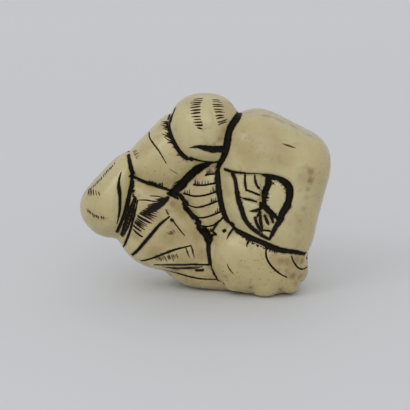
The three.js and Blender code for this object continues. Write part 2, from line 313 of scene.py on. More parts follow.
cloth = {
    "rope": ([(-11.8, 17.5), (-12.2, 15.6), (-12.7, 13.8), (-13.2, 11.9), (-14.0, 9.7), (-14.6, 8.2)], 0.5, 0.3),
    "ropeBed": ([(-12.3, 17.6), (-12.8, 16.0), (-13.3, 14.4), (-13.8, 12.9), (-14.6, 10.9)], 1.25, 0.22),
    "beads": [
        (-12.5, 16.7), (-12.8, 16.1), (-13.0, 15.4), (-13.2, 14.8), (-13.4, 14.1), (-13.6, 13.5), (-13.8, 12.8),
        (-14.0, 12.2), (-14.3, 11.5), (-14.5, 10.8),
    ],
    "bead": (0.42, 0.16),  # across, high
    "teeth": {
        "start": [(-13.0, 20.8), (-12.9, 19.4), (-12.7, 17.9)], "end": [(-12.3, 20.6), (-12.2, 19.2), (-12.1, 17.8)],
        "count": 8, "wide": 0.26, "ink": 1.0, "reach": (0.5, 1.0),
    },
    "pleats": {
        "band": ([(-6.2, 14.7), (-7.9, 13.3), (-9.4, 11.5), (-10.7, 9.9), (-11.7, 8.6), (-12.9, 7.2)], 0.54, 0.35),
        "foot": ([(-2.4, 9.4), (-5.0, 8.8), (-7.5, 7.8), (-9.5, 6.9), (-11.3, 6.2)], 0.38, 0.25),
    },
    "lines": {
        "boxTop": ([(-11.8, 17.5), (-10.4, 17.6), (-8.9, 17.4), (-7.6, 17.4)], 0.2, 0.1),
        "boxOver": ([(-9.6, 18.3), (-8.4, 18.2), (-7.3, 17.9)], 0.18, 0.06),
        "boxSide": ([(-11.8, 17.5), (-12.0, 16.6)], 0.3, 0.1),
        "boxFoot": ([(-12.6, 12.2), (-11.8, 11.5), (-11.0, 11.0)], 0.3, 0.1),
        "ray": ([(-6.8, 15.9), (-6.3, 15.0)], 0.16, 0.06),
        "long": ([(-5.8, 14.3), (-4.8, 12.9), (-3.5, 11.2)], 0.2, 0.1),
        "spot": ([(-5.9, 14.2), (-5.5, 13.9)], 0.5, 0.12),
    },
    "apex": {
        "start": [(-6.4, 17.9), (-7.4, 17.0), (-8.8, 16.2)], "end": [(-9.2, 17.8), (-10.0, 16.9), (-11.3, 16.1)],
        "count": 9, "wide": 0.24, "ink": 1.0, "reach": (0.55, 1.0), "stray": 0.05, "keen": True,
    },
    "bandHatch": {
        "start": [(-10.2, 16.2), (-11.4, 15.3), (-12.2, 13.8), (-12.7, 12.6)],
        "end": [(-7.6, 15.4), (-8.6, 14.2), (-9.9, 12.8), (-10.9, 11.5)],
        "count": 14, "wide": 0.25, "ink": 1.0, "reach": (0.75, 1.0), "stray": 0.05, "keen": True,
    },
    "shortRays": {
        "start": [(-6.6, 11.8), (-5.4, 12.4)], "end": [(-5.8, 11.1), (-4.8, 11.4)], "count": 4, "wide": 0.2, "ink": 0.5,
        "reach": (0.6, 1.0),
    },
    "footHatch": {
        "start": [(-8.9, 7.1), (-6.6, 7.6), (-4.8, 7.9)], "end": [(-8.2, 6.2), (-5.9, 6.3), (-4.4, 6.5)],
        "count": 14, "wide": 0.18, "ink": 0.62, "reach": (0.6, 1.0), "stray": 0.05,
    },
    "footTicks": {
        "start": [(-3.6, 8.9), (-2.0, 9.4)], "end": [(-2.9, 7.1), (-1.4, 7.0)], "count": 2, "wide": 0.24, "ink": 0.9,
        "reach": (0.95, 1.0), "stray": 0,
    },
    # painted shade: a dark inked band under the cloth's overhanging edge
    "shadeUnderClothEdge": ([(-7.4, 5.2), (-5.0, 4.9), (-2.6, 5.0), (-0.4, 5.3)], 0.8, 0.05),
    "darkMiddle": ([(-6.4, 17.9), (-7.8, 16.8), (-9.4, 15.9), (-10.6, 15.2)], 1.1, 0.15),  # the strokes meet here
}
cut(*cloth["darkMiddle"], thin=(0.5, 0.5))
cut(*cloth["ropeBed"], ink=0.97, thin=(0.6, 0.6), inSolid=True)
cut(*cloth["rope"], inSolid=True)
for name in ("band", "foot"):
    cut(*cloth["pleats"][name], thin=(0.5, 0.8), inSolid=True)
for line in cloth["lines"].values():
    cut(*line, thin=(0.5, 0.6))
for name in ("teeth", "apex", "bandHatch", "shortRays", "footHatch", "footTicks"):
    hatch(**cloth[name])
# painted shade under the cloth's edge, laid as a shallow inked cut
cut(*cloth["shadeUnderClothEdge"], ink=0.6)
for point in cloth["beads"]:
    bead(point, *cloth["bead"])

waist = {
    "sash": ([(-5.6, 18.6), (-4.4, 19.6), (-3.4, 20.9), (-2.3, 22.0), (-0.9, 23.2), (0.6, 24.1)], 1.7, 0.6),
    "knot": ([(-6.4, 18.5), (-5.5, 18.2), (-4.8, 17.6)], 1.0, 0.4),
    "ribs": [
        [(0.2, 21.9), (1.0, 22.1), (2.0, 22.2)],
        [(-1.9, 20.1), (-0.3, 20.2), (2.1, 20.7)],
        [(-3.7, 18.3), (-1.7, 18.2), (0.4, 18.6), (2.1, 19.2)],
        [(-3.9, 16.5), (-1.7, 16.1), (0.3, 16.7), (2.2, 17.5)],
        [(-2.4, 14.2), (-1.0, 14.1), (0.4, 14.5), (2.9, 15.6)],
        [(-1.6, 13.0), (-0.8, 12.5), (0.5, 12.6), (1.7, 13.1), (3.1, 14.3)],
    ],
    "rib": (0.3, 0.25),
    "ticks": {"count": 3, "wide": 0.19, "ink": 0.8, "reach": (0.3, 0.75), "stray": 0.04},
    "tickHigh": 1.5,
    "tickRuns": [("all",), ("left",), ("left", "right"), ("left", "right"), ("right",), ("left",)],  # for each rib
    "teeth": {
        "start": [(-0.9, 12.2), (0.3, 12.0), (1.7, 12.5)], "end": [(-0.2, 11.0), (0.5, 10.6), (1.1, 11.2)],
        "count": 7, "wide": 0.26, "ink": 1.0, "reach": (0.7, 1.0),
    },
}
cut(*waist["sash"], ink=0.97, thin=(0.8, 0.8), inSolid=True)
cut(*waist["knot"], ink=0.97, thin=(0.6, 0.6))
for rib, runs in zip(waist["ribs"], waist["tickRuns"]):
    cut(rib, *waist["rib"], thin=(1, 1), inSolid=True)
    feet = {
        "all": rib,
        "left": [rib[0], (rib[0][0] + 1.2, rib[0][1] - 0.1)],
        "right": [(rib[-1][0] - 1.1, rib[-1][1] - 0.3), rib[-1]],
    }
    for run in runs:
        heads = [(x, z + waist["tickHigh"]) for x, z in feet[run]]
        hatch(feet[run], heads, **{**waist["ticks"], "count": 6 if run == "all" else 3})
secondRib = waist["ribs"][1]
hatch(secondRib, [(x, z + 1.4) for x, z in secondRib], **{**waist["ticks"], "count": 7, "ink": 0.6})
hatch(**waist["teeth"])

sack = {
    "rim": ([(3.5, 23.4), (5.6, 23.2), (8.6, 23.1), (10.6, 23.0)], 0.5, 0.1),
    # ink and painted shade: a wide black band on the recess's right wall
    "rimWallInkAndShade": (
        [(10.2, 22.9), (11.7, 22.5), (13.6, 22.0), (14.8, 20.9), (15.1, 19.3), (14.8, 17.8), (14.0, 16.3), (13.2, 14.9),
         (12.4, 13.5), (11.8, 12.0), (11.4, 11.2)], 1.45, 0.1),
    "band": (
        # painted shade: the black band on the recess's left wall, where it lies in shade
        [(4.9, 22.9), (5.4, 21.8), (5.7, 19.8), (6.0, 18.2), (6.5, 16.7), (7.0, 15.1), (7.8, 13.8), (9.1, 12.6),
         (10.4, 11.7), (11.4, 11.2)], 0.85, 0.1),
    "frame": [
        [(7.1, 22.9), (7.1, 21.5), (7.3, 20.2)],
        [(7.3, 20.2), (8.4, 19.8), (9.7, 19.2)],
        [(6.0, 18.7), (8.2, 18.3), (10.3, 17.5)],
    ],
    "eye": ([(11.0, 22.6), (11.2, 21.2), (10.7, 19.7), (10.5, 18.3), (10.3, 17.3)], 1.15, 0.25),
    "eyeRing": ([(8.8, 22.8), (8.9, 21.8), (9.3, 20.8), (10.2, 19.8)], 0.38, 0.12),
    "wedge": ([(10.0, 17.4), (11.4, 16.3), (12.8, 15.0)], 1.1, 0.25),
    "star": [
        [(10.2, 16.9), (9.1, 16.5), (8.0, 16.4)],
        [(10.0, 16.6), (9.5, 15.8), (9.1, 15.2)],
        [(9.7, 16.9), (9.8, 15.5), (9.9, 14.2), (10.3, 12.6)],
        [(11.2, 16.4), (11.9, 14.9), (12.1, 13.8)],
        [(8.9, 15.2), (9.3, 13.9), (10.2, 12.3)],
        [(10.6, 15.5), (11.3, 13.9)],
    ],
    "budLine": ([(10.2, 12.8), (11.8, 12.6)], 0.34, 0.1),
    "moonFringe": {
        "start": [(11.8, 22.2), (11.2, 20.8), (10.7, 19.4), (10.4, 17.9), (11.2, 16.6), (12.6, 15.2)],
        "end": [(12.5, 21.4), (12.0, 20.2), (11.5, 19.0), (11.3, 17.8), (12.0, 16.8), (13.1, 15.8)],
        "count": 22, "wide": 0.24, "ink": 1.0, "reach": (0.3, 1.0), "stray": 0.06, "keen": True,
    },
    "moonFringeRight": {
        "start": [(13.6, 15.6), (14.3, 17.2), (14.6, 18.9), (14.3, 20.4), (13.2, 21.6)],
        "end": [(13.2, 16.4), (13.7, 17.5), (13.9, 18.8), (13.6, 20.0), (12.8, 21.0)],
        "count": 12, "wide": 0.22, "ink": 0.9, "reach": (0.3, 0.8), "stray": 0.08,
    },
    "bandTeeth": {
        "start": [(6.2, 18.0), (7.0, 15.4), (8.6, 13.2), (10.0, 12.2)],
        "end": [(6.8, 18.2), (7.6, 15.8), (9.0, 13.9), (10.3, 12.9)],
        "count": 9, "wide": 0.24, "ink": 1.0, "reach": (0.3, 1.0),
    },
    "dash": ([(13.6, 28.3), (14.8, 27.9), (15.9, 27.5)], 0.36, 0.08),
}
cut(*sack["rim"], thin=(0.8, 0.8))
# the recess's right wall, part ink, part painted shade
cut(*sack["rimWallInkAndShade"], thin=(0.5, 0.3))
# the band on the recess's left wall is painted shade
for name in ("band", "eye", "eyeRing", "wedge", "budLine"):
    cut(*sack[name], thin=(0.7, 0.6))
for points in sack["frame"]:
    cut(points, 0.38, 0.12, thin=(0.9, 0.8))
for points in sack["star"]:
    cut(points, 0.52, 0.15, thin=(1, 0.3))
for name in ("moonFringe", "moonFringeRight", "bandTeeth"):
    hatch(**sack[name])
cut(*sack["dash"], ink=0.5)

paw = {
    "claws": [
        [(10.9, 9.7), (10.9, 8.1), (11.7, 6.5), (13.2, 5.0), (14.6, 4.1)],
        [(15.4, 7.9), (15.8, 6.8), (16.6, 5.6), (17.5, 5.0), (18.3, 5.1)],
    ],
    "claw": (0.3, 0.25),
    "thorns": [[(5.4, 12.9), (4.4, 11.6), (3.9, 10.7)], [(7.9, 11.2), (7.7, 10.6), (7.4, 9.9)]],
    "crescent": ([(4.0, 6.6), (4.4, 5.6), (5.2, 4.7)], 0.2, 0.08),
    "edgeTeeth": {
        "start": [(4.6, 13.6), (6.4, 11.9), (8.2, 10.7), (10.2, 9.8), (13.0, 8.7)],
        "end": [(4.4, 12.9), (6.1, 11.2), (7.9, 10.0), (9.9, 9.1), (12.7, 8.0)],
        "count": 24, "wide": 0.24, "ink": 0.8, "reach": (0.2, 0.6), "stray": 0.1,
    },
    "betweenToes": [  # dimples without ink
        [(3.4, 4.8), (3.9, 3.4), (4.3, 1.6)],
        [(8.0, 3.6), (8.2, 2.0), (8.3, 0.2)],
        [(13.3, 3.4), (13.5, 1.8), (13.5, 0.2)],
        [(17.0, 4.0), (17.1, 2.4), (17.0, 1.0)],
    ],
    "dimple": (1.4, 0.12),
}
for points in paw["claws"]:
    cut(points, *paw["claw"], thin=(0.8, 0.5), inSolid=True)
for points in paw["thorns"]:
    cut(points, 0.42, 0.15, ink=0.95, thin=(1, 0.1))
cut(*paw["crescent"], ink=0.8)
hatch(**paw["edgeTeeth"])
for points in paw["betweenToes"]:
    cut(points, *paw["dimple"], ink=0, thin=(0.3, 1))

hem = {"line": ([(-7.2, 4.4), (-6.5, 4.1), (-3.5, 3.4), (-0.9, 2.9), (1.0, 2.8), (2.4, 2.8)], 0.3, 0.2)}
cut(*hem["line"], thin=(0.8, 0.6), inSolid=True)

backFolds = {
    "long": ([(-9.3, 22.6), (-6.3, 15.6), (-1.3, 9.6), (5.3, 6.4)], 0.6, 0.35),
    "short": ([(-10.5, 17.4), (-7.3, 11.2), (-2.3, 6.6)], 0.5, 0.3),
    "shoulder": ([(-4.3, 26.8), (1.5, 23.2), (5.5, 24.6)], 0.5, 0.3),
}
for fold in backFolds.values():
    cut(*fold, ink=0.9, thin=(0.3, 0.2), side=1, inSolid=True)
print("graver's work drawn:", len(strokes), "groups of strokes")


# ---- the skin: the solid with its flats rounded, its joins and crisp edges kept, and its cuts filled

skin = {
    "voxel": 0.5 * mm,
    "hollowAngle": 34,  # degrees: a hollow edge sharper than this is a join
    "ridgeAngle": 40,  # degrees: a ridge sharper than this stays crisp
    "fill": 0.7,  # how far past a cut's half width the solid's own cut is left out, in millimetres
    "still": 0.6 * mm,  # the skin holds still this close to a sharp edge
    "softenPasses": 30,
    "toePasses": 6,  # the toes are small, so they are softened less
    "toes": (3.0 * mm, 5.5 * mm),  # right of and below these
    "snap": (0.3 * mm, 0.7 * mm),  # wholly on the solid up to the first, free past the second
    "rimHeight": 0.02 * mm,  # an edge below this is the rim of the foot
    "tableGap": 0.05 * mm,  # nothing below this is moved
}

nudges = {  # small shifts of the front's forms: middle in front view, shift, reach
    "domeAndSack": ((4.9, 29.8), (-0.95, 0.45), 4.3),
    "sackFoot": ((12.4, 9.9), (0.0, -0.65), 4.2),
    "pointedDomeTop": ((-12.8, 24.3), (-0.55, 0.0), 2.8),
}


def mergedCopy(node):  # nudged in front only: wholly at 2 mm before the middle, not at all at 3 mm behind it
    work = bmesh.new()
    work.from_mesh(node.data)
    bmesh.ops.remove_doubles(work, verts=work.verts, dist=1e-6)
    for v in work.verts:
        x, y, z = v.co / mm
        shift = Vector()
        for middle, by, reach in nudges.values():
            shift += Vector((by[0], 0, by[1])) * smooth(1 - math.dist((x, z), middle) / reach) * smooth((3 - y) / 5)
        v.co += shift * mm
    work.normal_update()
    return work


def treeOf(places):
    tree = KDTree(len(places) + 1)
    for i, place in enumerate(places):
        tree.insert(place, i)
    tree.balance()
    return tree


def sharpEdges(work, s):
    filled = []
    for stroke in strokes:
        if stroke["inSolid"]:
            filled += [(Vector((x, stroke["side"] * 100, z)), stroke["wide"] / 2 + s["fill"])
                       for x, z in curveThrough(stroke["points"], 0.2)]
    filledTree = treeOf([place for place, _ in filled])

    def isFilled(edge):
        x, y, z = (edge.verts[0].co + edge.verts[1].co) / 2 / mm
        _, i, away = filledTree.find(Vector((x, math.copysign(100, y + 1), z)))
        return away < filled[i][1]

    hollow, ridge = [], []
    for edge in work.edges:
        if len(edge.link_faces) != 2 or max(v.co.z for v in edge.verts) < s["rimHeight"]:
            continue
        angle = math.degrees(edge.calc_face_angle_signed(0))
        if angle < -s["hollowAngle"] and not isFilled(edge):
            hollow.append(edge)
        elif angle > s["ridgeAngle"] and not isFilled(edge):
            ridge.append(edge)
    return hollow, ridge


def placesAlong(edges, step):  # each with the direction out of the solid there
    places = []
    for edge in edges:
        start, end = (v.co for v in edge.verts)
        outward = (edge.link_faces[0].normal + edge.link_faces[1].normal).normalized()
        count = max(1, math.ceil((end - start).length / step))
        places += [(start.lerp(end, i / count), outward) for i in range(count)]
    return places


def voxelCopy(work, size):
    mesh = bpy.data.meshes.new("rough")
    work.to_mesh(mesh)
    rough = bpy.data.objects.new("rough", mesh)
    scene.collection.objects.link(rough)
    remesh = rough.modifiers.new("remesh", "REMESH")
    remesh.mode = "VOXEL"
    remesh.voxel_size = size
    graph = bpy.context.evaluated_depsgraph_get()
    made = bpy.data.meshes.new_from_object(rough.evaluated_get(graph))
    fine = bmesh.new()
    fine.from_mesh(made)
    bpy.data.objects.remove(rough)
    bpy.data.meshes.remove(mesh)
    bpy.data.meshes.remove(made)
    return fine


def soften(work, verts, passes):
    for _ in range(passes):
        bmesh.ops.smooth_vert(work, verts=verts, factor=0.5, use_axis_x=True, use_axis_y=True, use_axis_z=True)


def offTheTable(verts):
    return [v for v in verts if v.co.z > skin["tableGap"]]


def roundFlats(work, sharp, s):
    hollowness = work.verts.layers.float.new("hollow")
    free = [v for v in offTheTable(work.verts) if sharp.find(v.co)[2] > s["still"]]
    right, below = s["toes"]
    rest = [v for v in free if v.co.x < right or v.co.z > below]
    before = [v.co.copy() for v in free]
    soften(work, free, s["toePasses"])
    soften(work, rest, s["softenPasses"])
    once = [v.co.copy() for v in free]
    soften(work, free, s["toePasses"])
    soften(work, rest, s["softenPasses"])
    for v, place in zip(free, once):
        v.co = place * 2 - v.co  # gives back what the softening shrank
    work.normal_update()
    for v, place, first in zip(free, once, before):
        v[hollowness] = (place - first).dot(v.normal) / mm


def snapTo(work, solidTree, sharp, s):
    full, none = s["snap"]
    for v in offTheTable(work.verts):
        away = sharp.find(v.co)[2]
        if away < none:
            v.co = v.co.lerp(solidTree.find_nearest(v.co)[0], smooth((none - away) / (none - full)))


cad = mergedCopy(solid)
cadTree = BVHTree.FromBMesh(cad)
hollowEdges, ridgeEdges = sharpEdges(cad, skin)
sharpTree = treeOf([place for place, _ in placesAlong(hollowEdges + ridgeEdges, 0.1 * mm)])
body = voxelCopy(cad, skin["voxel"])
snapTo(body, cadTree, sharpTree, skin)
roundFlats(body, sharpTree, skin)
skinTree = BVHTree.FromBMesh(body)
print("skin rounded:", len(body.verts), "vertices")


# ---- the strokes laid on the skin, as runs of small marks: place, radius, depth, ink and painted shade, keen

laying = {
    "wobble": (0.16, 0.16),  # unevenness of a cut's width, slow and quick, as a share
    "wobbleScale": (1600, 5200),
    "endShare": 0.3,  # of a cut's length, in which each end thins out
    "joinWide": 0.55,
    "joinDeep": 0.1,
    "joinInk": 0.8,
    "joinStep": 0.1 * mm,
    "rimDepth": 2 * mm,  # a point drawn past the outline lands on it at this depth
    "joinRise": 0.4 * mm,
    "joinCatch": 0.9 * mm,  # a cut along a join slides onto it from this close
    "joinEase": 6,  # places before and behind that a slide is evened over
    "joinApart": 1.6 * mm,  # a plain join keeps this far from a drawn one
    "toes": (3.0, 4.4),  # right of and below these, plain joins have no ink
    "recess": ((4.0, 16.2), (10.8, 23.6)),  # nor have they here
    "hole": ((1.1, 9.0, 17.0), 7.0),  # nor this close to the middle of the cord holes
}
marks = []


def onSkin(x, z, side=-1):
    hit = skinTree.ray_cast(Vector((x * mm, side * 0.1, z * mm)), Vector((0, -side, 0)))[0]
    return hit or skinTree.find_nearest(Vector((x * mm, side * laying["rimDepth"], z * mm)))[0]


def measured(places):  # each place with the length of the run up to it
    run = [(0.0, places[0])]
    for place in places[1:]:
        run.append((run[-1][0] + (place - run[-1][1]).length, place))
    return run


def evenRun(points, side):
    return measured([onSkin(x, z, side) for x, z in curveThrough(points, 0.1)])


def placeAt(run, share):
    wanted = max(0.0, min(1.0, share)) * run[-1][0]
    for (before, a), (after, b) in zip(run, run[1:]):
        if after >= wanted:
            return a.lerp(b, (wanted - before) / max(after - before, 1e-9))
    return run[-1][1]


def slidOntoJoin(run, s):  # sideways only
    slides = []
    for i, (_, place) in enumerate(run):
        along = (run[min(i + 1, len(run) - 1)][1] - run[max(i - 1, 0)][1]).normalized()
        join, _, away = joinTree.find(place)
        slide = join - place
        slides.append(slide - along * slide.dot(along) if away < s["joinCatch"] else None)
    places = []
    for i, (_, place) in enumerate(run):
        around = [slide for slide in slides[max(0, i - s["joinEase"]):i + s["joinEase"] + 1] if slide]
        places.append(place + sum(around, Vector()) / max(1, len(around)))
    return measured([skinTree.find_nearest(place)[0] for place in places])


def mark(place, wide, deep, ink, keen=False):
    place = skinTree.find_nearest(place)[0]
    (slow, quick), (slowScale, quickScale) = laying["wobble"], laying["wobbleScale"]
    uneven = 1 + slow * noise.noise(place * slowScale) + quick * noise.noise(place * quickScale)
    marks.append((place, wide / 2 * uneven * mm, deep * mm, ink, keen))


def layCut(s):
    run = evenRun(s["points"], s["side"])
    if s["onJoin"]:
        run = slidOntoJoin(run, laying)
    if s["onJoin"] or s["inSolid"]:
        drawnJoins.extend(place for _, place in run)
    count = max(2, math.ceil(run[-1][0] / (max(0.05, s["wide"] * 0.2) * mm)))
    (atStart, atEnd), share = s["thin"], laying["endShare"]
    for i in range(count + 1):
        t = i / count
        taper = min(1, atStart + (1 - atStart) * t / share, atEnd + (1 - atEnd) * (1 - t) / share)
        mark(placeAt(run, t), s["wide"] * taper, s["deep"] * taper, s["ink"], s["keen"])


def layHatch(s):
    first, last = evenRun(s["start"], s["side"]), evenRun(s["end"], s["side"])
    for i in range(s["count"]):
        t = (i + 0.5 + dice.uniform(-0.2, 0.2)) / s["count"]
        a = placeAt(first, t)
        b = a.lerp(placeAt(last, t + dice.uniform(-0.5, 0.5) * s["stray"]), dice.uniform(*s["reach"]))
        wide, ink = s["wide"] * dice.uniform(0.75, 1.2), s["ink"] * dice.uniform(0.8, 1.1)
        sway = (b - a).cross(Vector((0, s["side"], 0))) * (dice.uniform(-1, 1) * s["stray"])
        count = max(2, math.ceil((b - a).length / (wide * 0.25 * mm)))
        for j in range(count + 1):
            u = j / count
            taper = min(1, 0.7 + u, 0.35 + (1 - u) * 1.6)
            place = a.lerp(b, u) + sway * 4 * u * (1 - u)
            mark(place, wide * taper, s["deep"] * taper, ink * (1 - 0.25 * u), s["keen"])


def layBead(s):
    place = onSkin(s["point"][0] + dice.uniform(-0.06, 0.06), s["point"][1])
    marks.append((place, s["across"] / 2 * mm, -s["high"] * mm, -0.7, True))


def isPlainJoin(place, s):
    x, y, z = place / mm
    (left, right), (below, above) = s["recess"]
    return not (
        z < s["toes"][1] and x > s["toes"][0]
        or y < 0 and left < x < right and below < z < above
        or math.dist((x, y, z), s["hole"][0]) < s["hole"][1]
        or drawnTree.find(place)[2] < s["joinApart"]
    )


def outOfHollow(place, outward):  # from inside the solid out to the skin at the hollow's bottom
    start = place - outward * laying["joinRise"]
    return skinTree.ray_cast(start, outward, 3 * laying["joinRise"])[0] or skinTree.find_nearest(place)[0]


joinPlaces = [outOfHollow(*join) for join in placesAlong(hollowEdges, laying["joinStep"])]
joinTree = treeOf(joinPlaces)
drawnJoins = []
for stroke in strokes:
    {"cut": layCut, "hatch": layHatch, "bead": layBead}[stroke["kind"]](stroke)
drawnTree = treeOf(drawnJoins)
for place in joinPlaces:
    if isPlainJoin(place, laying):
        wide = laying["joinWide"] * (1 + 0.25 * noise.noise(place * 500))
        mark(place, wide, laying["joinDeep"], laying["joinInk"])
print("strokes laid:", len(marks), "marks")


# ---- the skin made finer where the graver goes, then pressed in, with the ink that gathers there and the painted shade laid the same way

engraving = {
    "broad": 0.2 * mm,  # marks with a larger radius than this are broad
    "within": 1 * mm,  # how far out a mark is looked for
    "coarseReach": 0.25 * mm,
    "edgeReach": 0.12 * mm,  # on both sides of a broad mark's edge
    "fineReach": (0.07 * mm, 0.02 * mm),
    "haloReach": 0.55 * mm,
    "fineHalo": 0.12 * mm,
    "edge": (0.16 * mm, 0.1 * mm),  # how soft the ink's edge is, on the finer and the finest mesh
}


class Marks:
    def __init__(self, chosen):
        self.chosen = chosen
        self.tree = treeOf([m[0] for m in chosen])
        self.widest = max(m[1] for m in chosen)

    def near(self, place, beyond):
        for _, i, away in self.tree.find_range(place, self.widest + beyond):
            if away < self.chosen[i][1] + beyond:
                yield away, *self.chosen[i][1:]

    def gap(self, place, beyond, keenOnly=False):  # how far outside the nearest mark's edge, below zero inside it
        return min((m[0] - m[1] for m in self.near(place, beyond) if m[4] or not keenOnly), default=1.0)


def halve(work, isNear):
    near = {v for v in work.verts if isNear(v.co)}
    edges = [e for e in work.edges if e.verts[0] in near or e.verts[1] in near]
    made = bmesh.ops.subdivide_edges(work, edges=edges, cuts=1, use_grid_fill=True)
    fresh = [g for g in made["geom_inner"] if isinstance(g, bmesh.types.BMVert)]
    soften(work, offTheTable(fresh), 2)
    print("made finer:", len(work.verts), "vertices")


def carve(work, broad, fine, s):
    # this mask holds the ink and also the bands of painted shade
    inkedAndShaded = work.verts.layers.float.new("ink")
    haloed = work.verts.layers.float.new("halo")
    work.normal_update()
    moved = []
    for v in work.verts:
        press, lift, ink, lighter, halo = 0.0, 0.0, 0.0, 0.0, 0.0
        for group, reach in ((broad, s["haloReach"]), (fine, s["fineHalo"])):
            for away, radius, deep, strength, keen in group.near(v.co, reach):
                inside = max(0.0, 1 - (away / radius) ** 2)
                if strength < 0:
                    lift = max(lift, -deep * inside)
                    lighter = max(lighter, -strength * inside)
                else:
                    press = max(press, deep * inside)
                    ink = max(ink, strength * smooth((radius - away) / s["edge"][keen] + 0.6))
                    halo = max(halo, strength * (1 - max(0.0, away - radius) / reach) ** 2)
        v[inkedAndShaded] = ink * (1 - lighter)
        v[haloed] = halo
        if press or lift:
            moved.append((v, v.normal * (lift - press)))
    for v, shift in moved:
        v.co += shift


broadMarks = Marks([m for m in marks if m[1] > engraving["broad"]])
fineMarks = Marks([m for m in marks if m[1] <= engraving["broad"]])
edgeReach = engraving["edgeReach"]
outer, inner = engraving["fineReach"]
within, coarseReach = engraving["within"], engraving["coarseReach"]
halve(body, lambda place: min(broadMarks.gap(place, within), fineMarks.gap(place, within)) < coarseReach)
snapTo(body, cadTree, sharpTree, skin)
halve(body, lambda place: abs(broadMarks.gap(place, edgeReach)) < edgeReach or fineMarks.gap(place, outer) < outer)
snapTo(body, cadTree, sharpTree, skin)
halve(body, lambda place: fineMarks.gap(place, inner, True) < inner and broadMarks.gap(place, edgeReach) > -edgeReach)
soften(body, offTheTable(body.verts), 1)
carve(body, broadMarks, fineMarks, engraving)
soften(body, offTheTable(body.verts), 1)
for v in body.verts:
    v.co.z = max(v.co.z, boxLow.z)
bmesh.ops.triangulate(body, faces=body.faces)
bmesh.ops.recalc_face_normals(body, faces=body.faces)
for face in body.faces:
    face.smooth = True
print("carved:", len(body.faces), "triangles")


# ---- old bone

bone = {
    "pale": (0.575, 0.50, 0.262),
    "deep": (0.47, 0.375, 0.165),
    "tan": (0.40, 0.30, 0.125),
    "stain": (0.23, 0.125, 0.042),
    "fringe": (0.12, 0.065, 0.024),
    "black": (0.009, 0.0065, 0.003),
    "roughness": (0.26, 0.42),
    "sheen": 0.3,
    "glow": 0.1,
    "broadScale": 85,
    "mottleScale": 420,
    "patchScale": 230,
    "speckScale": 1500,
    "streakScale": 900,
    "streakStretch": (1, 1, 0.12),
    "poreScale": 1100,
    "relief": 0.05 * mm,
}


